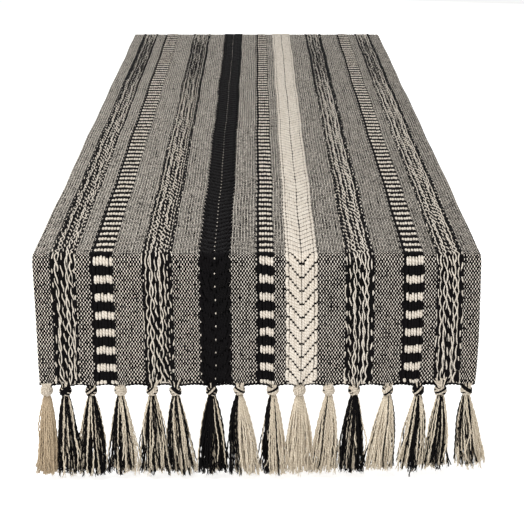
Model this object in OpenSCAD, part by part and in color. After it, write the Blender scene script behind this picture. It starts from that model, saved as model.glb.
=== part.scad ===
// Fringed, striped table runner draped over a table, with both ends hanging.
// X runs across the cloth, Y along it, Z up. The origin is the centre of the
// underside of the stretch that lies on the table.

/* [Cloth] */
// Length of cloth that lies flat on the table
span_l = 1128; // [600:8:1800]
// How far below the table top the woven cloth ends
drop_h = 116; // [90:1:220]
// Thickness of the plain ground weave
ground_t = 1.8; // [1.2:0.1:2.4]
// Thickness of the raised bands
band_t = 3; // [2.6:0.1:4]
// Inside radius of the bend over the table's edge
bend_r = 6; // [4:0.5:12]

/* [Fringe] */
// Length of the fringe below the cloth, knots included
fringe_l = 80; // [60:1:120]
// Radius of a knot
knot_r = 7; // [5:0.25:8]
// Height of a knot
knot_h = 12; // [8:0.5:13]
// Radius of a tassel at its neck, just below the knot
neck_r = 4; // [3:0.25:4.5]
// Radius of a tassel at its loose end
skirt_r = 8; // [5:0.25:8.25]
// Gap between a knot and the tassel that swings below it
swing_gap = 0.6; // [0.5:0.1:1.5]

/* [Closing weft] */
// Radius of the twisted yarn along each end of the cloth
weft_r = 1.1; // [1:0.05:1.4]
// Height of that yarn where the cloth and the knots press it flat
weft_h = 1.6; // [1:0.1:1.9]

/* [Hidden] */
// Width of the cloth
cloth_w = 381;

// Raised bands from the left edge: kind, start, width
BANDS = [
    ["cord", 15, 21],
    ["ladder", 49.5, 18],
    ["cord", 93, 25],
    ["braid", 142, 25],
    ["ladder", 190.5, 14],
    ["chevron", 216, 25],
    ["cord", 266, 24],
    ["ladder", 315.5, 16.5],
    ["cord", 344, 22],
];

// Where each knot is tied, from the left edge. They are tied by hand, so the spacing varies.
KNOTS = [9, 26, 47, 72, 100, 120, 152, 176, 206, 227, 253, 276, 303, 329, 350, 372];

// Ground strips lie between the bands, from one band's end to the next one's start
GROUND_FROM = concat([0], [for (b = BANDS) b[1] + b[2]]);
GROUND_TO = concat([for (b = BANDS) b[1]], [cloth_w]);

ENDS = ["front", "rear"];
SECTIONS = ["span", "front", "rear"];
PIECES = ["ground_cloth", "cord_bands", "ladder_bands", "black_braid_band", "chevron_band"];

bend_y = span_l / 2;
cloth_end_z = weft_h - drop_h;
knot_top_z = -drop_h;
// The tassels turn about this height, at the middle of their rounded necks
swing_z = knot_top_z - knot_h - swing_gap - neck_r;
fringe_end_z = -drop_h - fringe_l;
fringe_y = bend_y + bend_r + ground_t / 2;
// Keeps a lifted drop clear of the span's end face
lift_gap = 0.5;

curve_fn = 48;
ball_fn = 40;

BLACK = "#221f20";
CREAM = "#d7cdb9";
GROUND = "#84796c";
CORD = "#5b554e";
LADDER = "#7b746a";

function two_digits(i) = i < 10 ? str("0", i) : str(i);
function tassel_name(end, i) = str(end, "_tassel_", two_digits(i + 1));

// Moves what is drawn for the front end to the given end. The bands and the knots keep
// their X, so the rear end is a mirror image across the middle of the table.
module at_end(end) {
    if (end == "front") children();
    if (end == "rear") mirror([0, 1, 0]) children();
}

// Places a child drawn from the left edge
module from_left_edge(x) {
    translate([x - cloth_w / 2, 0, 0]) children();
}

// One stretch of cloth of width w and thickness t, starting x from the left edge
module lying(x, w, t) {
    from_left_edge(x) translate([0, -bend_y, 0]) cube([w, span_l, t]);
}

module hanging(x, w, t) {
    top_z = -bend_r - lift_gap;
    from_left_edge(x) translate([0, -bend_y - bend_r - t, cloth_end_z])
        cube([w, t, top_z - cloth_end_z]);
}

module bending(x, w, t) {
    from_left_edge(x) translate([0, -bend_y, -bend_r])
        rotate([90, 0, 90]) linear_extrude(height = w)
            intersection() {
                difference() {
                    circle(r = bend_r + t, $fn = curve_fn);
                    circle(r = bend_r, $fn = curve_fn);
                }
                translate([-2 * bend_r, 0]) square(2 * bend_r);
            }
}

module stretch(section, x, w, t) {
    if (section == "span") lying(x, w, t);
    else at_end(section) hanging(x, w, t);
}

// The plain weave: one strip between each pair of neighbouring bands
module ground_cloth(section) {
    color(GROUND) for (i = [0 : len(GROUND_FROM) - 1])
        stretch(section, GROUND_FROM[i], GROUND_TO[i] - GROUND_FROM[i], ground_t);
}

// Every band of one kind, as separate solids
module bands(section, kind) {
    for (b = BANDS) if (b[0] == kind) stretch(section, b[1], b[2], band_t);
}

module cord_bands(section) {
    color(CORD) bands(section, "cord");
}

module ladder_bands(section) {
    color(LADDER) bands(section, "ladder");
}

module black_braid_band(section) {
    color(BLACK) bands(section, "braid");
}

module chevron_band(section) {
    color(CREAM) bands(section, "chevron");
}

// The stretch that turns down over the table's edge, ground and bands together
module bend(end) {
    color(GROUND) at_end(end) {
        bending(0, cloth_w, ground_t);
        for (b = BANDS) bending(b[1], b[2], band_t);
    }
}

// Twisted yarn that closes the weave, pressed flat where the cloth and the knots touch it
module closing_weft(end) {
    color(BLACK) at_end(end) intersection() {
        translate([-cloth_w / 2, -fringe_y, cloth_end_z - weft_h / 2])
            rotate([0, 90, 0]) cylinder(r = weft_r, h = cloth_w, $fn = curve_fn);
        translate([-cloth_w / 2, -fringe_y - weft_r, -drop_h])
            cube([cloth_w, 2 * weft_r, weft_h]);
    }
}

// A knot is a ball flattened against the weft above it and the tassel's neck below it
module knot() {
    intersection() {
        sphere(r = knot_r, $fn = ball_fn);
        cube([2 * knot_r, 2 * knot_r, knot_h], center = true);
    }
}

module knots(end) {
    color(CREAM) at_end(end) for (x = KNOTS)
        from_left_edge(x) translate([0, -fringe_y, knot_top_z - knot_h / 2]) knot();
}

// A tassel's loose strands as one cone, with a round neck at the height it swings about
module tassel(end, i) {
    color(CREAM) at_end(end) from_left_edge(KNOTS[i]) translate([0, -fringe_y, fringe_end_z]) {
        cylinder(r1 = skirt_r, r2 = neck_r, h = swing_z - fringe_end_z, $fn = ball_fn);
        translate([0, 0, swing_z - fringe_end_z]) sphere(r = neck_r, $fn = ball_fn);
    }
}

for (section = SECTIONS) {
    ground_cloth(section);
    cord_bands(section);
    ladder_bands(section);
    black_braid_band(section);
    chevron_band(section);
}
for (end = ENDS) {
    bend(end);
    closing_weft(end);
    knots(end);
    for (i = [0 : len(KNOTS) - 1]) {
        tassel(end, i);
    }
}
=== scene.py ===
"""Looks of the table runner: woven cloth, raised bands of real yarn, knots and tassels.

All cloth detail is laid out flat, in cloth coordinates, and then draped over the table's edges:
u runs across from the left edge, s along the cloth from the middle of the table (the front end is
negative), and h is the height above the underside. They are in millimetres.
"""

import math
import bpy
import numpy as np
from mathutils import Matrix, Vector


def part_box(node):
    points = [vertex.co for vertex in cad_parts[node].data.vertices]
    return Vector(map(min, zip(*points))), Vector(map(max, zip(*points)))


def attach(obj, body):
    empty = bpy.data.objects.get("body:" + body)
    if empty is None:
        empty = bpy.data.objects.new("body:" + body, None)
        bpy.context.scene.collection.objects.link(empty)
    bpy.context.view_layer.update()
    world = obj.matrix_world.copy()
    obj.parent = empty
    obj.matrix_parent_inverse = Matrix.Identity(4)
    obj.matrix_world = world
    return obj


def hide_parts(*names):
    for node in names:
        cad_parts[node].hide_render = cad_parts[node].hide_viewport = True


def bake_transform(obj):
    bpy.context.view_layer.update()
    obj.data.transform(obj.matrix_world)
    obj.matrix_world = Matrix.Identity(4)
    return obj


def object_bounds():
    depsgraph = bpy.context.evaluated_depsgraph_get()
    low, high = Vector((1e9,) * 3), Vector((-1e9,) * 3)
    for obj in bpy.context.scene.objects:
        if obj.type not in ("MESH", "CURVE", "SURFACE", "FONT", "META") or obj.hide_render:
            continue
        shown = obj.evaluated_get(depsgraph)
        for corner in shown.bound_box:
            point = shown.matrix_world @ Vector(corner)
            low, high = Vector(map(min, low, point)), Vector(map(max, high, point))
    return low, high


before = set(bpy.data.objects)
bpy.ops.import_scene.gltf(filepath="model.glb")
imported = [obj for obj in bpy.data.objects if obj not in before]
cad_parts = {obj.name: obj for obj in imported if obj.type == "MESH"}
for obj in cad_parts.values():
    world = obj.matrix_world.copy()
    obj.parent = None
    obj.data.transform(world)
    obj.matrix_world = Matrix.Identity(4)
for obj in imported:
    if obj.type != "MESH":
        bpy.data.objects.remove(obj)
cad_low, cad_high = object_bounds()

MM = 0.001
TAU = 2 * math.pi
rng = np.random.default_rng(18)

# ---------------------------------------------------------------- sizes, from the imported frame


def box_mm(node):
    """Lowest and highest corner of a CAD node, in millimetres."""
    low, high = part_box(node)
    return np.array(low) / MM, np.array(high) / MM


ENDS = {"front": -1, "rear": 1}  # which way each end lies along y
TASSELS = 16

span_low, span_high = box_mm("span_ground_cloth")
knots_low, knots_high = box_mm("front_knots")
tassel_boxes = [box_mm(f"front_tassel_{i + 1:02d}") for i in range(TASSELS)]

WIDTH = span_high[0] - span_low[0]
SPAN = span_high[1]
BEND_R = -box_mm("front_bend")[0][2]
CLOTH_END_Z = box_mm("front_ground_cloth")[0][2]
KNOT_TOP_Z = knots_high[2]
KNOT_BOTTOM_Z = knots_low[2]
FRINGE_END_Z = tassel_boxes[0][0][2]
FRINGE_Y = (knots_high[1] + knots_low[1]) / 2
KNOT_U = [(low[0] + high[0]) / 2 - span_low[0] for low, high in tassel_boxes]

# Heights above the underside: the plain weave's face, and the face below the raised bands
GROUND_TOP = 1.5
BACKING_TOP = 1.0
CLOTH_THICK = 1.2

# The bend's length is measured where the yarns run
ARC = (BEND_R + GROUND_TOP) * math.pi / 2
END_S = SPAN + ARC + (-BEND_R - CLOTH_END_Z)

PICK = 2.0  # pitch of the black weft
WARP = 1.29  # pitch of the cream warp
REPEAT = 6 * PICK  # chevron, braid and cords
LADDER_REPEAT = 8 * PICK

# Where the bands and the cloth are cut across into pieces, each after a whole number of repeats
BAND_CUT = 12 * LADDER_REPEAT
CLOTH_CUT = 21 * LADDER_REPEAT

# Raised bands from the left edge: kind, start, width
BANDS = [
    ("cord", 15, 21),
    ("ladder", 49.5, 18),
    ("cord", 93, 25),
    ("braid", 142, 25),
    ("ladder", 190.5, 14),
    ("chevron", 216, 25),
    ("cord", 266, 24),
    ("ladder", 315.5, 16.5),
    ("cord", 344, 22),
]

# What the cord band that starts at each place holds: kind of cream strand, and how far it lies from the
# band's left edge. A line runs straight, an arc bows once a repeat, a chain is two strands that cross by
# turns, a twist weaves from side to side, and a dash surfaces now and then.
CORDS = {
    15: [("line", 1.2), ("chain", 5.2), ("twist", 9.6), ("chain", 13.6), ("chain", 18.0), ("arc", 20.8)],
    93: [
        ("line", 0.6), ("arc", 3.2), ("chain", 7.0), ("twist", 11.0),
        ("chain", 14.8), ("twist", 18.6), ("dash", 21.2), ("line", 24.0),
    ],
    266: [
        ("line", 0.8), ("twist", 3.8), ("chain", 8.0), ("twist", 12.0),
        ("chain", 15.8), ("arc", 19.4), ("line", 23.0),
    ],
    344: [
        ("line", 0.8), ("arc", 3.2), ("chain", 7.0), ("twist", 10.8),
        ("chain", 14.6), ("arc", 18.0), ("line", 21.2),
    ],
}

# ---------------------------------------------------------------- how the cloth lies


def knot_phase(u):
    """0.5 above a knot, and 0 or 1 halfway to the next one, plus a whole number for each knot."""
    at = [0.0]
    for i, k in enumerate(KNOT_U):
        after = (k + KNOT_U[i + 1]) / 2 if i + 1 < TASSELS else WIDTH
        at += [k, after]
    return np.interp(u, at, 0.5 * np.arange(len(at)))


def drape(points):
    """Cloth coordinates to the frame, in metres, with the waves and the pull of the knots."""
    u, s, h = points[..., 0].copy(), points[..., 1].copy(), points[..., 2].copy()
    side, along = np.sign(s), np.abs(s)
    from_end = np.maximum(END_S - along, 0)
    hang = np.clip((along - SPAN - ARC) / (END_S - SPAN - ARC), 0, 1)

    # Each knot gathers the cloth's last few millimetres towards itself, and the cloth's end narrows
    phase = knot_phase(u)
    near_knots = np.exp(-from_end / 7)
    inner = np.clip(np.minimum(u, WIDTH - u) / 6, 0, 1)
    u = u + 1.7 * np.sin(TAU * phase) * near_knots * inner
    along = along - 0.7 * np.cos(TAU * phase) * near_knots
    u = u + 1.2 * (0.5 - u / WIDTH) * 2 * np.exp(-from_end / 16)
    u = u + 0.35 * np.sin(s / 53 + 1.3) + 0.25 * np.sin(s / 23 + 4)

    # The cloth lies almost flat on the table, and its hanging ends sway outward a little
    lie = 0.3 * (1 + np.sin(u / 31 + s / 75) * np.sin(s / 47 + 0.6)) * (1 - hang)
    sway = 1.2 + 1.3 * np.sin(u / 30 + 0.7 + side) + 0.7 * np.sin(u / 13 + 2 * side)
    h = h + lie + np.maximum(sway, 0) * hang**1.5

    turn = np.clip(along - SPAN, 0, ARC) / ARC * math.pi / 2
    down = np.maximum(along - SPAN - ARC, 0)
    radius = BEND_R + h
    x = u - WIDTH / 2
    y = side * (np.minimum(along, SPAN) + radius * np.sin(turn))
    z = -BEND_R + radius * np.cos(turn) - down
    return np.stack([x, y, z], -1) * MM


# ---------------------------------------------------------------- meshes


def make_mesh(name, points, faces, material, point_values=None, face_values=None):
    """A piece from its corners and a list of (n, 3) and (n, 4) arrays of corner numbers."""
    mesh = bpy.data.meshes.new(name)
    mesh.vertices.add(len(points))
    mesh.vertices.foreach_set("co", np.asarray(points, np.float32).ravel())
    loops = np.concatenate([f.ravel() for f in faces]).astype(np.int32)
    totals = np.concatenate([np.full(len(f), f.shape[1]) for f in faces]).astype(np.int32)
    mesh.loops.add(len(loops))
    mesh.loops.foreach_set("vertex_index", loops)
    mesh.polygons.add(len(totals))
    starts = np.concatenate([[0], np.cumsum(totals)[:-1]]).astype(np.int32)
    mesh.polygons.foreach_set("loop_start", starts)
    mesh.polygons.foreach_set("loop_total", totals)
    mesh.polygons.foreach_set("use_smooth", np.ones(len(totals), bool))
    mesh.update(calc_edges=True)
    mesh.validate()
    for key, values in (point_values or {}).items():
        kind, field = ("FLOAT_VECTOR", "vector") if values.ndim == 2 else ("FLOAT", "value")
        layer = mesh.attributes.new(key, kind, "POINT")
        layer.data.foreach_set(field, values.astype(np.float32).ravel())
    for key, values in (face_values or {}).items():
        layer = mesh.attributes.new(key, "FLOAT", "FACE")
        layer.data.foreach_set("value", values.astype(np.float32))
    mesh.materials.append(material)
    piece = bpy.data.objects.new(name, mesh)
    bpy.context.scene.collection.objects.link(piece)
    return piece


def unit(v):
    """The same vectors, one unit long."""
    return v / np.maximum(np.linalg.norm(v, axis=-1, keepdims=True), 1e-9)


class Strands:
    """Yarns gathered into one mesh. Each yarn is a closed, flattened tube along its own points."""

    def __init__(self, sides=8):
        self.sides = sides
        self.points, self.quads, self.caps, self.yarn, self.tone = [], [], [], [], []
        self.count = 0

    def add(self, path, width, height, up=(0, 0, 1), taper=None, tone=None):
        """path is (yarns, rings, 3). width and height are the tube's, along the cloth and along up."""
        path = np.asarray(path, float)
        number, rings, _ = path.shape
        sides = self.sides
        up = np.broadcast_to(np.asarray(up, float), path.shape)
        tangent = unit(np.gradient(path, axis=1))
        rise = unit(up - (up * tangent).sum(-1, keepdims=True) * tangent)
        across = np.cross(tangent, rise)
        taper = np.ones(rings) if taper is None else np.asarray(taper, float)
        width = np.broadcast_to(np.asarray(width, float).reshape(-1, 1), (number, rings)) * taper / 2
        height = np.broadcast_to(np.asarray(height, float).reshape(-1, 1), (number, rings)) * taper / 2
        angle = TAU * np.arange(sides) / sides
        ring = (
            path[:, :, None]
            + across[:, :, None] * (width[..., None] * np.cos(angle))[..., None]
            + rise[:, :, None] * (height[..., None] * np.sin(angle))[..., None]
        )
        outward = np.array([0.5, -0.5])[:, None]
        ends = path[:, [0, -1]] - tangent[:, [0, -1]] * height[:, [0, -1], None] * outward

        # The yarn attribute: the place round the yarn as a cosine and a sine, and the length along it
        steps = np.linalg.norm(np.diff(path, axis=1), axis=-1)
        along = np.concatenate([np.zeros((number, 1)), steps], 1)
        along = np.cumsum(along, 1) + rng.uniform(0, 50, (number, 1))
        yarn = np.zeros((number, rings, sides, 3))
        yarn[..., 0], yarn[..., 1], yarn[..., 2] = np.cos(angle), np.sin(angle), along[..., None]
        end_yarn = np.zeros((number, 2, 3))
        end_yarn[..., 2] = along[:, [0, -1]]
        tone = rng.uniform(0, 1, number) if tone is None else np.broadcast_to(tone, number)

        # Rings of quads, and a fan of triangles at each end
        size = rings * sides + 2
        first = self.count + size * np.arange(number)[:, None, None]
        r, k = np.arange(rings - 1)[:, None], np.arange(sides)[None]
        after = (k + 1) % sides
        corner = [r * sides + k, r * sides + after, (r + 1) * sides + after, (r + 1) * sides + k]
        quads = np.stack([np.broadcast_to(c, (rings - 1, sides)) for c in corner], -1)
        self.quads.append((first[..., None] + quads[None]).reshape(-1, 4))
        k = np.arange(sides)
        after = (k + 1) % sides
        last = (rings - 1) * sides
        head = np.stack([np.full(sides, rings * sides), after, k], -1)
        tail = np.stack([np.full(sides, rings * sides + 1), last + k, last + after], -1)
        self.caps.append((first + np.concatenate([head, tail])[None]).reshape(-1, 3))
        self.points.append(np.concatenate([ring.reshape(number, -1, 3), ends], 1).reshape(-1, 3))
        self.yarn.append(np.concatenate([yarn.reshape(number, -1, 3), end_yarn], 1).reshape(-1, 3))
        self.tone.append(np.repeat(tone, size))
        self.count += number * size

    def piece(self, name, material, place=drape):
        """All the yarns as one object, moved into the frame by place."""
        return make_mesh(
            name,
            place(np.concatenate(self.points)),
            [np.concatenate(self.quads), np.concatenate(self.caps)],
            material,
            {"yarn": np.concatenate(self.yarn), "tone": np.concatenate(self.tone)},
        )


# ---------------------------------------------------------------- materials


class Graph:
    """A node material, with short calls for the nodes that the yarns use."""

    def __init__(self, name, roughness):
        self.material = bpy.data.materials.new(name)
        self.material.use_nodes = True
        self.nodes = self.material.node_tree.nodes
        self.links = self.material.node_tree.links
        self.shader = self.nodes["Principled BSDF"]
        self.shader.inputs["Roughness"].default_value = roughness
        self.shader.inputs["Specular IOR Level"].default_value = 0.1

    def feed(self, socket, value):
        if isinstance(value, bpy.types.NodeSocket):
            self.links.new(value, socket)
        else:
            socket.default_value = value

    def math(self, operation, a, b=0.0, clamp=False):
        node = self.nodes.new("ShaderNodeMath")
        node.operation, node.use_clamp = operation, clamp
        self.feed(node.inputs[0], a)
        self.feed(node.inputs[1], b)
        return node.outputs[0]

    def ramp(self, value, low, high, to_low=0.0, to_high=1.0):
        node = self.nodes.new("ShaderNodeMapRange")
        node.interpolation_type = "SMOOTHSTEP"
        for socket, v in zip(node.inputs, (value, low, high, to_low, to_high)):
            self.feed(socket, v)
        return node.outputs[0]

    def mix(self, share, a, b):
        node = self.nodes.new("ShaderNodeMix")
        node.data_type = "RGBA"
        self.feed(node.inputs["Factor"], share)
        self.feed(node.inputs[6], a)
        self.feed(node.inputs[7], b)
        return node.outputs[2]

    def attribute(self, name):
        node = self.nodes.new("ShaderNodeAttribute")
        node.attribute_name = name
        return node

    def split(self, vector):
        node = self.nodes.new("ShaderNodeSeparateXYZ")
        self.links.new(vector, node.inputs[0])
        return node.outputs

    def noise(self, scale, detail=2.0, vector=None, stretch=(1, 1, 1)):
        where = self.nodes.new("ShaderNodeMapping")
        where.inputs["Scale"].default_value = stretch
        if vector is None:
            vector = self.nodes.new("ShaderNodeTexCoord").outputs["Object"]
        self.links.new(vector, where.inputs[0])
        node = self.nodes.new("ShaderNodeTexNoise")
        node.inputs["Scale"].default_value, node.inputs["Detail"].default_value = scale, detail
        self.links.new(where.outputs[0], node.inputs["Vector"])
        return node.outputs["Fac"]

    def bump(self, height, distance):
        node = self.nodes.new("ShaderNodeBump")
        node.inputs["Distance"].default_value = distance
        self.links.new(height, node.inputs["Height"])
        self.links.new(node.outputs[0], self.shader.inputs["Normal"])


def yarn_material(name, light, dark, sheen=0.0, ply=2.6):
    """Two-ply cotton: light ridges with painted shade in the grooves between them, loose fibres, and a tone
    for each yarn.
    """
    g = Graph(name, 0.9)
    c, s, along = g.split(g.attribute("yarn").outputs["Vector"])
    turn = g.math("MULTIPLY", along, TAU / ply)
    sin2 = g.math("MULTIPLY", g.math("MULTIPLY", s, c), 2.0)
    cos2 = g.math("SUBTRACT", g.math("MULTIPLY", c, c), g.math("MULTIPLY", s, s))
    twist = g.math(
        "SUBTRACT",
        g.math("MULTIPLY", sin2, g.math("COSINE", turn)),
        g.math("MULTIPLY", cos2, g.math("SINE", turn)),
    )
    fibre = g.noise(1500, 3)
    patch = g.noise(90, 2)
    tone = g.attribute("tone").outputs["Fac"]
    # Painted shade: the colour leans to the dark end in the grooves between the plies, where shade falls.
    painted_groove_shade = g.ramp(twist, -1.0, 0.0, 0.5, 0.0)
    shade = g.math("ADD", painted_groove_shade, g.ramp(fibre, 0.35, 0.7, 0.25, 0.0))
    shade = g.math("ADD", shade, g.math("MULTIPLY", g.math("ADD", tone, patch), 0.2))
    shade = g.math("MULTIPLY", shade, 1.0, clamp=True)
    g.feed(g.shader.inputs["Base Color"], g.mix(shade, (*light, 1), (*dark, 1)))
    g.feed(g.shader.inputs["Roughness"], g.ramp(fibre, 0.3, 0.7, 0.82, 0.98))
    height = g.math("ADD", g.math("MULTIPLY", twist, 0.6), g.math("MULTIPLY", fibre, 0.9))
    g.bump(height, 0.00018)
    g.shader.inputs["Sheen Weight"].default_value = sheen
    return g.material


# Light and dark ends of each colour. In the yarns the dark end holds the painted groove shade as well as
# fibre and tone.
CREAM_LIGHT, CREAM_DARK = (0.85, 0.79, 0.70), (0.46, 0.39, 0.31)
BLACK_LIGHT, BLACK_DARK = (0.0048, 0.0040, 0.0044), (0.0012, 0.0010, 0.0012)
BEIGE_LIGHT, BEIGE_DARK = (0.61, 0.49, 0.34), (0.30, 0.22, 0.14)
KNOT_LIGHT, KNOT_DARK = (0.82, 0.74, 0.62), (0.26, 0.205, 0.145)
FRINGE_LIGHT, FRINGE_DARK = (0.92, 0.82, 0.66), (0.32, 0.25, 0.165)

fringe_yarn = yarn_material("fringe_yarn", FRINGE_LIGHT, FRINGE_DARK, sheen=0.1)
knot_yarn = yarn_material("knot_yarn", KNOT_LIGHT, KNOT_DARK, sheen=0.1)
cream_yarn = yarn_material("cream_yarn", CREAM_LIGHT, CREAM_DARK, sheen=0.1)
black_yarn = yarn_material("black_yarn", BLACK_LIGHT, BLACK_DARK)
beige_yarn = yarn_material("beige_yarn", BEIGE_LIGHT, BEIGE_DARK)


# What shows on each face of the cloth
KIND = {"ground": 0, "braid": 1, "chevron": 2, "ladder": 3, "cord": 4}


def weave_material():
    """Plain weave of cream warp and black weft, and the backs of the raised bands by the faces' kind.

    The weave attribute holds the number of the warp, the number of the weft, and 1 on the face and 0 on
    the underside. A cream dot shows where the warp lies over the weft.
    """
    g = Graph("ground_weave", 0.92)
    a, b, side = g.split(g.attribute("weave").outputs["Vector"])
    a = g.math("ADD", a, g.ramp(g.noise(260, 1), 0.2, 0.8, -0.12, 0.12))
    b = g.math("ADD", b, g.ramp(g.noise(330, 1), 0.2, 0.8, -0.16, 0.16))
    across = g.math("SINE", g.math("MULTIPLY", a, math.pi))
    along = g.math("SINE", g.math("MULTIPLY", b, math.pi))
    way = g.math("SIGN", g.math("MULTIPLY", across, along))
    long_dot = g.math("POWER", g.math("ABSOLUTE", along), 0.45)
    over = g.math("MULTIPLY", g.math("MULTIPLY", g.math("ABSOLUTE", across), long_dot), way)
    over = g.math("MULTIPLY", over, g.math("SUBTRACT", g.math("MULTIPLY", side, 2.0), 1.0))
    thick = g.ramp(g.noise(55, 3, stretch=(14, 0.2, 1)), 0.3, 0.7, 0.32, -0.06)
    fine = g.ramp(g.noise(420, 2), 0.3, 0.7, 0.3, -0.16)
    coarse = g.ramp(g.noise(150, 1), 0.3, 0.7, 0.12, -0.12)
    slub = g.math("ADD", fine, coarse)
    slub = g.math("ADD", slub, g.ramp(g.noise(700, 1), 0.62, 0.7, 0.0, 0.4))
    pair = g.math("MULTIPLY", g.math("LESS_THAN", g.math("MODULO", a, 2.0), 1.0), -0.3)
    limit = g.math("ADD", g.math("ADD", thick, slub), pair)
    gap = g.ramp(g.math("ABSOLUTE", across), 0.52, 0.68)
    ground = g.math("MULTIPLY", g.ramp(g.math("SUBTRACT", over, limit), 0.3, 0.4), gap)

    kind = g.attribute("kind").outputs["Fac"]
    block_wave = g.math("SINE", g.math("MULTIPLY", b, TAU * PICK / LADDER_REPEAT))
    blocks = g.ramp(block_wave, -0.15, 0.15, 1.0, 0.0)
    blocks = g.math("MULTIPLY", blocks, g.math("SUBTRACT", 1.0, side))
    cords_across = g.math("SINE", g.math("MULTIPLY", a, 2.0))
    cords_along = g.math("SINE", g.math("MULTIPLY", b, 1.05))
    cords = g.ramp(g.math("MULTIPLY", cords_across, cords_along), 0.1, 0.35)
    solid = g.ramp(g.noise(900, 2), 0.3, 0.6, 0.6, 1.0)
    share = 0.0
    for name, value in (("ground", ground), ("chevron", solid), ("ladder", blocks), ("cord", cords)):
        same = g.math("COMPARE", kind, float(KIND[name]))
        same.node.inputs[2].default_value = 0.4
        share = g.math("ADD", share, g.math("MULTIPLY", same, value))

    fibre = g.noise(1800, 2)
    cream = g.mix(g.ramp(fibre, 0.25, 0.6), (*CREAM_DARK, 1), (*CREAM_LIGHT, 1))
    black = g.mix(fibre, (*BLACK_DARK, 1), (*BLACK_LIGHT, 1))
    g.feed(g.shader.inputs["Base Color"], g.mix(share, black, cream))
    g.feed(g.shader.inputs["Roughness"], g.ramp(fibre, 0.3, 0.7, 0.84, 0.98))
    crown = g.math("MULTIPLY", g.math("ABSOLUTE", over), 0.8)
    g.bump(g.math("ADD", crown, g.math("MULTIPLY", fibre, 0.5)), 0.0003)
    return g.material


ground_weave = weave_material()

# ---------------------------------------------------------------- the woven cloth


def cloth_columns():
    """Across the cloth: place, warp number, kind of what lies to its right, and the mean height."""
    u, a, kind, top = [0.0], [0.0], [KIND["ground"]], [GROUND_TOP]
    warps, start = 0, 0.0
    for band, where, width in BANDS + [(None, WIDTH, 0)]:
        number = max(1, round((where - start) / WARP))
        pitch = (where - start) / number
        for i in range(number):
            u.append(start + (i + 0.5) * pitch)
            a.append(warps + i + 0.5)
            kind.append(KIND["ground"])
            top.append(GROUND_TOP)
        warps += number
        if band:
            inside = max(3, round(width / 4))
            for i in range(inside + 1):
                u.append(where + 0.3 + (width - 0.6) * i / inside)
                a.append(warps + width / WARP * i / inside)
                kind.append(KIND[band] if i < inside else KIND["ground"])
                top.append(BACKING_TOP)
            warps += 2 * round(width / WARP / 2)
            start = where + width
    u.append(WIDTH)
    a.append(float(warps))
    kind.append(KIND["ground"])
    top.append(GROUND_TOP)
    return tuple(np.array(x) for x in (u, a, kind, top))


def cloth_section(name, low, high):
    """A closed stretch of the cloth from s = low to s = high, one corner at each crossing of the yarns."""
    u, a, kind, top = cloth_columns()
    first, last = math.ceil(low / PICK - 0.5), math.floor(high / PICK - 0.5)
    s = np.concatenate([[low], (np.arange(first, last + 1) + 0.5) * PICK, [high]])
    s = s[np.concatenate([[True], np.diff(s) > 0.2])]
    b = s / PICK
    rows, columns = len(s), len(u)
    over = np.sin(math.pi * a)[None] * np.sin(math.pi * b)[:, None]
    over = np.where(top[None] == GROUND_TOP, over, 0)
    proud = np.where(np.floor(a) % 2 == 0, 2.8, 1.0)
    relief = np.where(over > 0, over * proud, over * 0.8)
    uu = np.broadcast_to(u, (rows, columns)).copy()
    loops = 0.35 * (0.5 + 0.5 * np.sin(math.pi * b))
    uu[:, 0] -= loops
    uu[:, -1] += loops[::-1]
    ss = np.broadcast_to(s[:, None], (rows, columns))
    upper = np.stack([uu, ss, top[None] + 0.3 * relief], -1)
    lower = np.stack([uu, ss, np.maximum(top[None] - CLOTH_THICK + 0.22 * over, 0.02)], -1)
    points = drape(np.concatenate([upper.reshape(-1, 3), lower.reshape(-1, 3)]))

    grid = np.arange(rows * columns).reshape(rows, columns)
    below = grid + rows * columns
    lid = np.stack([grid[:-1, :-1], grid[:-1, 1:], grid[1:, 1:], grid[1:, :-1]], -1).reshape(-1, 4)
    floor = np.stack([below[:-1, :-1], below[1:, :-1], below[1:, 1:], below[:-1, 1:]], -1).reshape(-1, 4)
    edges = [
        (grid[0], below[0]),
        (grid[-1][::-1], below[-1][::-1]),
        (grid[:, 0][::-1], below[:, 0][::-1]),
        (grid[:, -1], below[:, -1]),
    ]
    rims = [np.stack([line[:-1], under[:-1], under[1:], line[1:]], -1) for line, under in edges]
    weave = np.zeros((2, rows, columns, 3))
    weave[..., 0], weave[..., 1] = a, b[:, None]
    weave[0, ..., 2] = 1
    face_kind = np.broadcast_to(kind[:-1], (rows - 1, columns - 1)).ravel()
    face_kind = np.concatenate([face_kind, face_kind, np.zeros(sum(len(r) for r in rims))])
    return make_mesh(
        name, points, [lid, floor, *rims], ground_weave, {"weave": weave.reshape(-1, 3)}, {"kind": face_kind}
    )


# ---------------------------------------------------------------- raised bands

# How a float's height and width run from one end to the other, and the three forms its ends take
FLOAT_RINGS = 7
FLOAT_T = (1 - np.cos(math.pi * (np.arange(FLOAT_RINGS) + 0.5) / FLOAT_RINGS)) / 2
FLOAT_ROUND = (1 - np.abs(2 * FLOAT_T - 1) ** 3) ** 0.5
FLOAT_BLUNT = (1 - np.abs(2 * FLOAT_T - 1) ** 9) ** 0.5
FLOAT_POINT = (1 - np.abs(2 * FLOAT_T - 1) ** 2) ** 0.6


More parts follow.
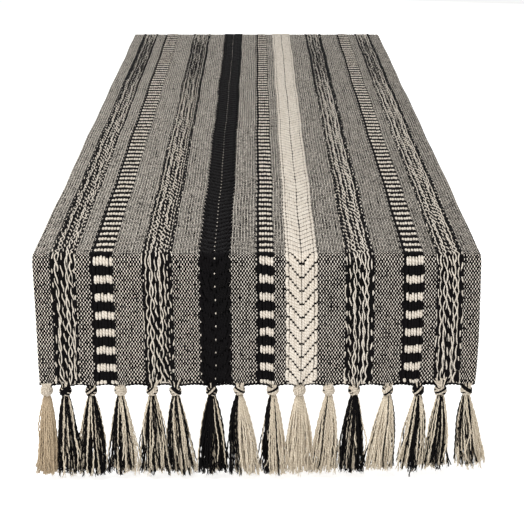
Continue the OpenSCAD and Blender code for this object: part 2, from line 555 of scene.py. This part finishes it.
def add_floats(
    strands, u, s, length, width, base=1.1, crest=2.1, lean=0.0, bow=0.0, tip=0.35, shape=FLOAT_ROUND
):
    """Yarns that surface at s, run over the cloth for their length and dive again.

    base and crest are the heights of the ends and of the middle, lean and bow move the yarn aside, and
    tip is how thin the ends are.
    """
    u, s, length = (np.atleast_1d(np.asarray(x, float)) for x in (u, s, length))
    number = max(len(u), len(s), len(length))
    u, s, length = (np.broadcast_to(x, number) for x in (u, s, length))
    lean = np.broadcast_to(lean, number)
    width = np.broadcast_to(width, number)
    path = np.zeros((number, FLOAT_RINGS, 3))
    path[..., 0] = u[:, None] + lean[:, None] * (FLOAT_T - 0.5) + bow * np.sin(math.pi * FLOAT_T)
    path[..., 1] = s[:, None] + length[:, None] * FLOAT_T
    path[..., 2] = base + (crest - base) * shape
    strands.add(path, width, width * 0.62, taper=tip + (1 - tip) * shape)


def repeats(low, high, step, shift=0.0):
    """Starts of a pattern's repeats whose middles lie from low to high."""
    k = np.arange(math.floor(low / step) - 1, math.ceil(high / step) + 1)
    s = k * step + shift
    middle = s + step / 2
    return s[(middle >= low) & (middle < high)]


def inside_cloth(s, length, margin=0.3):
    """Cuts the yarns back to the cloth's two ends."""
    start = np.maximum(s, -END_S + margin)
    end = np.minimum(s + length, END_S - margin)
    return start, np.maximum(end - start, 1.0)


def add_row(strands, low, high, step, shift, length, u, width, jitter=0.3, **more):
    """One column of floats, with a little play in place, length and width, and no short remnants."""
    s = repeats(low, high, step, shift)
    if not len(s):
        return
    n = len(s)
    start, long = inside_cloth(s + rng.normal(0, jitter, n), length + rng.normal(0, jitter, n))
    wide = width * (1 + rng.normal(0, 0.05, n))
    aside = u + rng.normal(0, 0.12, n)
    whole = long > 0.4 * length
    if whole.any():
        add_floats(strands, aside[whole], start[whole], long[whole], wide[whole], **more)


def ladder(cream, black, start, width, low, high):
    """Blocks of cream floats and black floats by turns, between black edge yarns."""
    edge = 1.9
    half = LADDER_REPEAT / 2
    columns = round((width - edge) / 2.5)
    pitch = (width - edge) / columns
    add_row(black, low, high, half, 0, half + 1.5, start + edge / 2, edge, crest=1.5)
    for i in range(columns):
        u = start + edge + (i + 0.5) * pitch
        ragged = rng.normal(0, 0.45)
        add_row(
            cream, low, high, LADDER_REPEAT, ragged - 0.2, half + 0.5, u, pitch * 0.98, 0.4,
            base=1.2, crest=2.3, tip=0.2, shape=FLOAT_POINT,
        )
        bow = {0: -0.8, columns - 1: 0.8}.get(i, 0.0)
        add_row(
            black, low, high, LADDER_REPEAT, half + ragged - 0.8, half + 1.5, u, pitch * 1.12, 0.4,
            crest=2.05, bow=bow,
        )
    add_row(
        black, low, high, LADDER_REPEAT, half + 0.2, half - 0.4, start - 0.3, 2.0, 0.3,
        crest=1.9, bow=-0.5,
    )


def chevron(cream, black, start, width, low, high):
    """Cream floats tied down by the black weft, a step further on for each column from the middle."""
    columns = 12
    step = 2.6
    pitch = (width - 0.8) / columns
    for i in range(columns):
        off = abs(i + 0.5 - columns / 2)
        side = math.copysign(1, i + 0.5 - columns / 2)
        u = start + width / 2 + side * (off * pitch + 0.3)
        tie = off * step
        bow = side * 1.2 if off > columns / 2 - 1 else side * 0.15
        add_row(
            cream, low, high, REPEAT, tie + 0.85, REPEAT - 1.7, u, pitch * 1.22, 0.12,
            lean=side * 0.4, bow=bow, base=1.5, crest=2.4, tip=0.7, shape=FLOAT_BLUNT,
        )
        add_ties(black, u, repeats(low, high, REPEAT, tie), 1.7, 2.2)
    add_row(black, low, high, REPEAT, 1.0, REPEAT * 0.5, start + width / 2, 1.0, 0.4, base=1.5, crest=2.4)


def add_ties(strands, u, s, long, crest):
    """Short weft floats across the band."""
    s = s[np.abs(s) < END_S - 1]
    n = len(s)
    if not n:
        return
    t = np.linspace(-0.5, 0.5, 5)
    path = np.zeros((n, 5, 3))
    path[..., 0] = u + rng.normal(0, 0.1, (n, 1)) + long * t
    path[..., 1] = (s + rng.normal(0, 0.1, n))[:, None]
    path[..., 2] = crest - 0.8 * (2 * t) ** 2
    strands.add(path, 2.1, 1.3, taper=[0.8, 0.95, 1, 0.95, 0.8])


def braid(black, cream, start, width, low, high):
    """Thick black yarns slanting to the middle, with a small cream float where they meet."""
    columns = 10
    step = 1.6
    pitch = (width - 1.6) / columns
    for i in range(columns):
        off = abs(i + 0.5 - columns / 2)
        side = math.copysign(1, i + 0.5 - columns / 2)
        u = start + width / 2 + side * off * pitch
        tie = off * step
        proud = 2.3 + rng.uniform(-0.2, 0.2)
        outer = off > columns / 2 - 1
        add_row(
            black, low, high, REPEAT, tie, REPEAT - 0.6, u, pitch * (1.35 if outer else 1.15), 0.5,
            lean=side * 2.6, bow=side * (1.7 if outer else 0.2), base=1.1, crest=proud,
        )
        add_row(
            black, low, high, REPEAT, tie + 6.5, 6.5, u - side * 0.5, pitch, 0.8,
            lean=-side * 1.4, base=1.1, crest=proud - 0.2,
        )
    add_row(cream, low, high, REPEAT, 4.4, 1.5, start + width / 2, 1.25, 0.15, base=2.4, crest=2.8)


def cord_background(black, start, width, low, high):
    """The low black floats between the cream strands, with a stouter one along each edge."""
    columns = round(width / 2.0)
    pitch = width / columns
    for i in range(columns):
        shift = rng.uniform(0, REPEAT)
        u = start + (i + 0.5) * pitch
        stout = i in (0, columns - 1)
        add_row(
            black, low, high, REPEAT, shift, REPEAT + 1.4, u, pitch * (1.5 if stout else 1.15), 0.6,
            base=1.0, crest=2.2 if stout else 1.5,
        )


STOUT, SLIGHT = 1.12, 1.08  # widths of the cream strands of the cord bands


def cord_strand(cream, kind, u, low, high):
    """One cream strand of a cord band, or the pair that makes a chain."""
    if kind == "dash":
        shift, lean = rng.uniform(0, REPEAT), rng.uniform(-1, 1)
        add_row(cream, low, high, REPEAT, shift, 5.6, u, 1.0, 1.0, lean=lean, base=1.6, crest=2.3)
        add_row(cream, low, high, REPEAT, shift + 7.5, 2.2, u + 0.5, 0.8, 0.6, base=1.6, crest=2.1)
        return
    step = 1.2
    s = np.arange(max(low, -END_S + 0.4), min(high, END_S - 0.4) + step / 2, step)
    wave = 0.4 * np.sin(s / 11 + u) + 0.35 * np.sin(s / 4.3 + 2 * u) + 0.25 * np.sin(s / 2.4 + 3 * u)
    phase = s / REPEAT + u + 0.08 * np.sin(s / 17 + u)
    uneven = 1 + 0.35 * np.sin(s / 23 + 5 * u)
    paths, widths = [], []
    if kind == "line":
        dive = np.clip(np.sin(s / 19 + 7 * u) * np.sin(s / 8.3 + u) - 0.75, 0, 1)
        paths.append((u + wave * 1.2, 2.3 + 0.25 * np.cos(TAU * phase) - 3.0 * dive))
        widths.append(STOUT)
    if kind == "arc":
        bow = np.abs(np.sin(math.pi * phase))
        paths.append((u + 1.3 * uneven * (0.5 - bow) + wave * 0.6, 1.2 + 1.2 * bow**0.5))
        widths.append(STOUT)
    if kind == "chain":
        swing = 1.25 * uneven * np.cos(math.pi * phase + 0.9 * np.sin(s / 29 + u))
        lift = 0.45 * np.sin(math.pi * phase)
        paths.append((u + swing + wave, 2.0 + lift))
        paths.append((u - swing + wave, 2.0 - lift))
        widths += [STOUT, SLIGHT]
    if kind == "twist":
        swing = 0.7 * uneven * np.cos(TAU * phase + 0.9 * np.sin(s / 27 + u))
        lift = 0.55 * np.sin(TAU * phase + 0.9 * np.sin(s / 27 + u))
        paths.append((u + swing + wave * 0.6, 1.85 + lift))
        widths.append(SLIGHT)
    # On the far half of the table the strands lie a little deeper among the black ones
    sink = np.interp(s, (60, 260, 460, 560), (0, 0.55, 0.55, 0))
    path = np.stack([np.stack([x, s, y - sink], -1) for x, y in paths])
    thin = 1 + 0.3 * np.sin(s / 5.1 + u) * np.sin(s / 3.3)
    cream.add(path, np.array(widths), np.array(widths) * 0.85, taper=thin)


SECTIONS = {
    "front": (-END_S, -BAND_CUT),
    "middle": (-BAND_CUT, BAND_CUT),
    "rear": (BAND_CUT, END_S),
}


def cloth_body(piece, section):
    """The middle piece rides on the span; the end pieces keep their place in the frame."""
    if section == "middle":
        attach(piece, "table_span")
        return
    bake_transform(piece)


for section, (low, high) in SECTIONS.items():
    part = "span" if section == "middle" else section
    ladder_cream, ladder_black = Strands(), Strands()
    cord_cream, cord_black = Strands(6), Strands(6)
    chevron_cream, chevron_black = Strands(), Strands(6)
    braid_black, braid_cream = Strands(), Strands(6)
    for kind, start, width in BANDS:
        if kind == "ladder":
            ladder(ladder_cream, ladder_black, start, width, low, high)
        if kind == "chevron":
            chevron(chevron_cream, chevron_black, start, width, low, high)
        if kind == "braid":
            braid(braid_black, braid_cream, start, width, low, high)
        if kind == "cord":
            cord_background(cord_black, start, width, low, high)
            for strand, offset in CORDS[start]:
                cord_strand(cord_cream, strand, start + offset, low, high)
    made = [
        (ladder_cream, f"ladder_cream_{section}", cream_yarn, "cream_yarn", "ladder_bands"),
        (ladder_black, f"ladder_black_{section}", black_yarn, "black_yarn", "ladder_bands"),
        (cord_cream, f"cord_cream_{section}", cream_yarn, "cream_yarn", "cord_bands"),
        (cord_black, f"cord_black_{section}", black_yarn, "black_yarn", "cord_bands"),
        (chevron_cream, f"chevron_cream_{section}", cream_yarn, "cream_yarn", "chevron_band"),
        (chevron_black, f"chevron_ties_{section}", black_yarn, "black_yarn", "chevron_band"),
        (braid_black, f"braid_black_{section}", black_yarn, "black_yarn", "black_braid_band"),
        (braid_cream, f"braid_dots_{section}", cream_yarn, "cream_yarn", "black_braid_band"),
    ]
    for strands, name, material, slot, node in made:
        piece = strands.piece(name, material)
        cloth_body(piece, section)
        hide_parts(f"{part}_{node}")

CLOTH_SECTIONS = {
    "front": (-END_S, -CLOTH_CUT),
    "middle_front": (-CLOTH_CUT, 0.0),
    "middle_rear": (0.0, CLOTH_CUT),
    "rear": (CLOTH_CUT, END_S),
}
for section, (low, high) in CLOTH_SECTIONS.items():
    piece = cloth_section(f"cloth_{section}", low, high)
    cloth_body(piece, section if section in ENDS else "middle")
    if section in ENDS:
        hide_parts(f"{section}_ground_cloth", f"{section}_bend")
    else:
        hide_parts("span_ground_cloth")

# ---------------------------------------------------------------- closing weft, knots and tassels


def at_end(side):
    """A placing function: x, y and z in mm, with y outward from the fringe's middle plane, front negative."""

    def place(points):
        x = points[..., 0] - WIDTH / 2
        y = side * (-FRINGE_Y - points[..., 1])
        return np.stack([x, y, points[..., 2]], -1) * MM

    return place


def closing_weft(end):
    """Two black plies twisted round each other along the cloth's cut end, sagging between the knots."""
    strands = Strands()
    x = np.arange(1.0, WIDTH - 0.5, 0.8)
    sag = 0.7 * np.cos(TAU * knot_phase(x))
    twist = TAU * x / 6.5
    for phase in (0, math.pi):
        y = 0.75 * np.cos(twist + phase)
        z = CLOTH_END_Z - 1.0 + sag + 0.75 * np.sin(twist + phase)
        strands.add(np.stack([x, y, z], -1)[None], 1.5, 1.5, up=(0, 1, 0))
    piece = strands.piece(f"{end}_closing_yarn", black_yarn, at_end(ENDS[end]))
    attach(piece, f"{end}_drop")
    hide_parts(f"{end}_closing_weft")


# For each tassel: how dark its left edge, middle and right edge are, how dark its knot is, which way the
# knot's turns slope, how far it stands aside, how far the tassel leans, how far it flares, and its length
TASSEL_LOOKS = [
    ((0.0, 0.0, 0.0), 0.0, 1, -1.8, -2.0, 10.5, 1.0),
    ((0.85, 0.4, 0.75), 0.6, 1, -2.5, 1.0, 12.5, 1.0),
    ((0.35, 0.85, 0.8), 0.5, 1, -1.0, -1.0, 14.0, 1.02),
    ((1.0, 0.5, 0.05), 0.15, -1, -0.6, 1.0, 14.0, 1.0),
    ((0.75, 0.7, 0.15), 0.3, 1, -0.8, 1.0, 14.0, 1.0),
    ((0.8, 0.4, 0.45), 0.45, -1, -0.6, 4.0, 13.0, 1.0),
    ((0.95, 0.8, 0.9), 0.75, 1, -1.0, 0.5, 14.5, 1.0),
    ((1.0, 0.15, 0.0), 0.3, -1, -1.0, 4.0, 15.5, 1.02),
    ((1.0, 0.15, 0.0), 0.15, 1, -1.8, 1.0, 11.5, 1.0),
    ((0.0, 0.0, 0.0), 0.0, 1, 0.5, 0.0, 13.0, 0.99),
    ((0.1, 0.0, 0.12), 0.05, -1, 0.0, -4.0, 12.0, 0.98),
    ((0.85, 0.45, 0.85), 0.45, -1, -0.8, -2.0, 13.0, 0.98),
    ((0.3, 0.0, 0.5), 0.2, 1, 1.4, -6.0, 13.0, 0.94),
    ((0.3, 0.85, 0.35), 0.9, 1, 2.0, -5.0, 12.5, 0.93),
    ((0.4, 0.6, 0.4), 0.6, 1, 0.6, -3.0, 11.0, 0.93),
    ((0.6, 0.3, 0.0), 0.3, -1, 1.0, 6.0, 13.5, 0.9),
]
IN_CORDS = (1, 2, 4, 5, 11, 14)  # knots below a cord band, whose strands run in from further off
STRANDS_PER_TASSEL = 84
TASSEL_RINGS = 34
GOLDEN_ANGLE = 2.39996  # between neighbouring strands, so that they fill a disc evenly
FRAY_RINGS = 6  # how many of a strand's last rings its loose fibres leave from


def alternate(place, share):
    """Which strands are black, so that each neighbourhood holds its share of them."""
    order = np.argsort(place)
    total = np.floor(np.cumsum(share[order]) + rng.uniform())
    dark = np.zeros(len(place), bool)
    dark[order] = np.diff(total, prepend=total[0]) > 0
    return dark


def tassel(end, i):
    """Loose, crimped warp ends: gathered under the knot, flaring to uneven tips that fall apart."""
    darks, _, _, aside, lean, flare, share = TASSEL_LOOKS[i]
    count = STRANDS_PER_TASSEL
    t = np.linspace(0, 1, TASSEL_RINGS)
    spot = np.arange(count) + 0.5
    r = np.sqrt(spot / count)
    turn = spot * GOLDEN_ANGLE
    x0, y0 = r * np.cos(turn), r * np.sin(turn)
    top_z = KNOT_BOTTOM_Z + 2.5
    drop = top_z - FRINGE_END_Z
    length = np.minimum(drop * share + rng.normal(0.6, 3.0, count), drop + 5.5)
    spread = 0.52 * (1 - (1 - t) ** 3) + 0.48 * t
    phase = rng.uniform(0, 1, (2, count, 1))
    reach = rng.normal(0, 1.3, (2, count, 1))
    waves = rng.uniform(0.6, 1.5, (2, count, 1))
    slow = reach * np.sin(TAU * (t * waves + phase)) * t
    crimp = 0.3 * np.sin(TAU * (t[None] * drop / rng.uniform(5.5, 9, (count, 1)) + phase[0]))
    stray = np.where(rng.uniform(0, 1, count) > 0.93, rng.normal(0, 4.0, count), 0)
    path = np.zeros((count, TASSEL_RINGS, 3))
    fan = 2.7 * (1 - spread) + flare * spread
    path[..., 0] = KNOT_U[i] + aside + x0[:, None] * fan + slow[0] * 1.3 + lean * t**1.4 + crimp
    path[..., 0] += stray[:, None] * t**2
    path[..., 1] = y0[:, None] * (2.6 * (1 - spread) + 6.0 * spread) + slow[1] + crimp * 0.6
    path[..., 2] = top_z - length[:, None] * t
    dark = alternate(x0 + rng.normal(0, 0.05, count), np.interp(x0, (-0.8, 0, 0.8), darks))
    taper = np.interp(t, (0, 0.06, 0.9, 1), (0.85, 1, 0.9, 0.5))
    light = (beige_yarn, "beige_yarn") if i == 0 else (fringe_yarn, "mixed_yarn")
    shades = [("black", dark, black_yarn, "black_yarn"), ("cream", ~dark, *light)]
    for name, chosen, material, slot in shades:
        if not chosen.any():
            continue
        strands = Strands(6)
        thick = rng.uniform(0.95, 1.35, chosen.sum()) + 0.7 * (1 - r[chosen])
        strands.add(path[chosen], thick, 1.05, up=(0, 1, 0), taper=taper)
        for way in (-1, 1):
            fray = path[chosen][:, -FRAY_RINGS:].copy()
            grow = np.linspace(0, 1, FRAY_RINGS)
            fray[..., 0] += way * 0.9 * grow + rng.normal(0, 0.4, (len(fray), 1)) * grow
            fray[..., 1] += rng.normal(0, 0.8, (len(fray), 1)) * grow
            fray[..., 2] -= rng.uniform(0, 1.5, (len(fray), 1)) * grow
            strands.add(fray, 0.42, 0.42, up=(0, 1, 0))
        piece = strands.piece(f"{end}_tassel_{i + 1:02d}_{name}", material, at_end(ENDS[end]))
        # The strands keep their place in the frame, in place of the CAD tassel, which is hidden
        body = f"{end}_tassel_{i + 1:02d}"
        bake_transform(piece)
        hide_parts(body)


def wrap(strands, middle, radius, tilt, offset, first, last, lift, thick):
    """One turn of yarn round a knot, in a plane sloped by tilt and moved by offset along its own axis."""
    angle = np.linspace(first, last, 27)
    swell = lift * np.sin(math.pi * (angle - first) / (last - first))
    r = math.sqrt(max(radius**2 - offset**2, 1.0)) + swell
    across = np.array([math.cos(tilt), 0, -math.sin(tilt)])
    axis = np.array([math.sin(tilt), 0.12, math.cos(tilt)])
    toward = np.array([0, -1.0, 0.12])
    circle = np.cos(angle)[:, None] * across + np.sin(angle)[:, None] * toward
    path = middle + offset * axis + r[:, None] * circle
    strands.add(path[None], thick, thick, up=(path - middle)[None])


def knots(end):
    """Overhand knots: turns of several yarns wound aslant round each bundle, and warp ends running in."""
    cream, black = Strands(), Strands()
    middle_z = (KNOT_TOP_Z + KNOT_BOTTOM_Z) / 2
    for i, x in enumerate(KNOT_U):
        darks, darkness, way, aside = TASSEL_LOOKS[i][:4]
        radius = rng.uniform(4.2, 4.8)
        tilt = way * rng.uniform(0.3, 0.65)
        middle = np.array([x + aside, 0, middle_z + rng.uniform(0.6, 1.6)])
        turns = 8
        pattern = (np.arange(turns) * 0.618 + 0.3) % 1
        for k in range(turns):
            strands = black if pattern[k] < darkness else cream
            offset = ((k + 0.5) / turns * 2 - 1) * radius * 0.86
            lift, thick = rng.uniform(0.1, 0.7), rng.uniform(1.35, 1.65)
            wrap(strands, middle, radius, tilt, offset, -0.5, TAU - 0.3, lift, thick)
        for k in range(3):
            strands = black if rng.uniform() < darkness else cream
            offset = (k - 1) * 1.5 + 0.6
            first = rng.uniform(-0.4, 0.4)
            wrap(strands, middle, radius, -tilt * 1.3, offset, first, first + 3.4, 1.5, 1.7)
        # A core, so that no gap shows between the turns
        level = np.linspace(-1, 1, 9)
        core_z = middle[2] + level * radius * 0.95
        core = np.stack([np.full(9, middle[0]), np.zeros(9), core_z], -1)[None]
        body = black if darkness > 0.3 else cream
        body.add(core, radius * 1.9, radius * 1.8, up=(0, 1, 0), taper=np.sqrt(1 - (level * 0.85) ** 2))
        # Warp ends that run down the cloth's end into the knot, most of them on its outer side
        count = 14
        wide, tall = (8.0, 6.5) if i in IN_CORDS else (4.5, 0.8)
        for k in range(count):
            off = (k + 0.5) / count * 2 - 1
            rise = rng.uniform(0.35, 1.0) * tall
            t = np.linspace(0, 1, 11)
            px = middle[0] + off * wide * (1 - t) ** 1.5 + off * 3.0 * t + rng.normal(0, 0.3)
            py = -(1.9 + 2.2 * t * np.sin(math.pi * t * 0.8)) * (1 if k % 4 else -1)
            pz = CLOTH_END_Z + rise - (CLOTH_END_Z + rise - middle[2] - 2.0) * t
            strands = black if rng.uniform() < np.interp(off, (-1, 0, 1), darks) else cream
            strands.add(np.stack([px, py, pz], -1)[None], 1.25, 1.0, up=(0, -1, 0))
    for strands, name, material in ((cream, "cream", knot_yarn), (black, "black", black_yarn)):
        piece = strands.piece(f"{end}_knots_{name}", material, at_end(ENDS[end]))
        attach(piece, f"{end}_drop")
        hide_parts(f"{end}_knots")


for end in ENDS:
    closing_weft(end)
    knots(end)
    for i in range(TASSELS):
        tassel(end, i)

# ---------------------------------------------------------------- floor, light and camera


FLOOR_GAP = 0.012  # the longest stray strands hang below the CAD fringe, and stay clear of the floor
FLOOR_HALF = 12.0


def make_floor():
    """White paper, lit from within a little so that it merges with the backdrop."""
    z = cad_low[2] - FLOOR_GAP
    mesh = bpy.data.meshes.new("floor")
    corners = [(x * FLOOR_HALF, y * FLOOR_HALF, z) for x, y in ((-1, -1), (1, -1), (1, 1), (-1, 1))]
    mesh.from_pydata(corners, [], [(0, 1, 2, 3)])
    g = Graph("floor_paper", 0.9)
    grain = g.noise(30, 3)
    g.feed(g.shader.inputs["Base Color"], g.mix(grain, (0.95, 0.95, 0.95, 1), (0.97, 0.97, 0.97, 1)))
    g.shader.inputs["Emission Color"].default_value = (1, 1, 1, 1)
    g.shader.inputs["Emission Strength"].default_value = 0.36
    mesh.materials.append(g.material)
    floor = bpy.data.objects.new("floor", mesh)
    bpy.context.scene.collection.objects.link(floor)


def make_world():
    """Even studio light, which the camera itself sees as plain white."""
    world = bpy.data.worlds.new("studio")
    bpy.context.scene.world = world
    world.use_nodes = True
    nodes, links = world.node_tree.nodes, world.node_tree.links
    seen = nodes.new("ShaderNodeLightPath")
    strength = nodes.new("ShaderNodeMapRange")
    strength.inputs["To Min"].default_value = 0.54
    strength.inputs["To Max"].default_value = 1.0
    links.new(seen.outputs["Is Camera Ray"], strength.inputs["Value"])
    sky = nodes["Background"]
    sky.inputs["Color"].default_value = (1, 1, 1, 1)
    links.new(strength.outputs["Result"], sky.inputs["Strength"])


def area_light(name, place, aim, size, power):
    """A rectangular lamp at place that faces aim, with its two sides in metres and its power in watts."""
    data = bpy.data.lights.new(name, "AREA")
    data.shape, data.energy = "RECTANGLE", power
    data.size, data.size_y = size
    light = bpy.data.objects.new(name, data)
    light.location = place
    direction = Vector(aim) - light.location
    light.rotation_euler = direction.to_track_quat("-Z", "Y").to_euler()
    bpy.context.scene.collection.objects.link(light)


def make_camera():
    """In front of the near end and above it, with a long lens."""
    data = bpy.data.cameras.new("camera")
    data.sensor_width = 36.0
    data.lens = 102.7
    camera = bpy.data.objects.new("camera", data)
    camera.location = (0, -1.7765, 0.3894)
    camera.rotation_euler = (math.radians(90 - 18.05), 0, math.radians(-0.2))
    bpy.context.scene.collection.objects.link(camera)
    bpy.context.scene.camera = camera


def make_lights():
    """A soft key above the near end, a low one behind the far end, and one that lights only the floor."""
    area_light("key", (-0.5, -1.2, 1.45), (0, -0.4, 0), (1.0, 1.0), 27)
    area_light("rear", (0.4, 2.3, 0.3), (0, 0.57, -0.1), (1.0, 0.5), 12)
    area_light("under", (0, 0, -0.012), (0, 0, -1), (1.2, 1.06), 3)


make_floor()
make_world()
make_lights()
make_camera()
bpy.context.scene.view_settings.view_transform = "Standard"
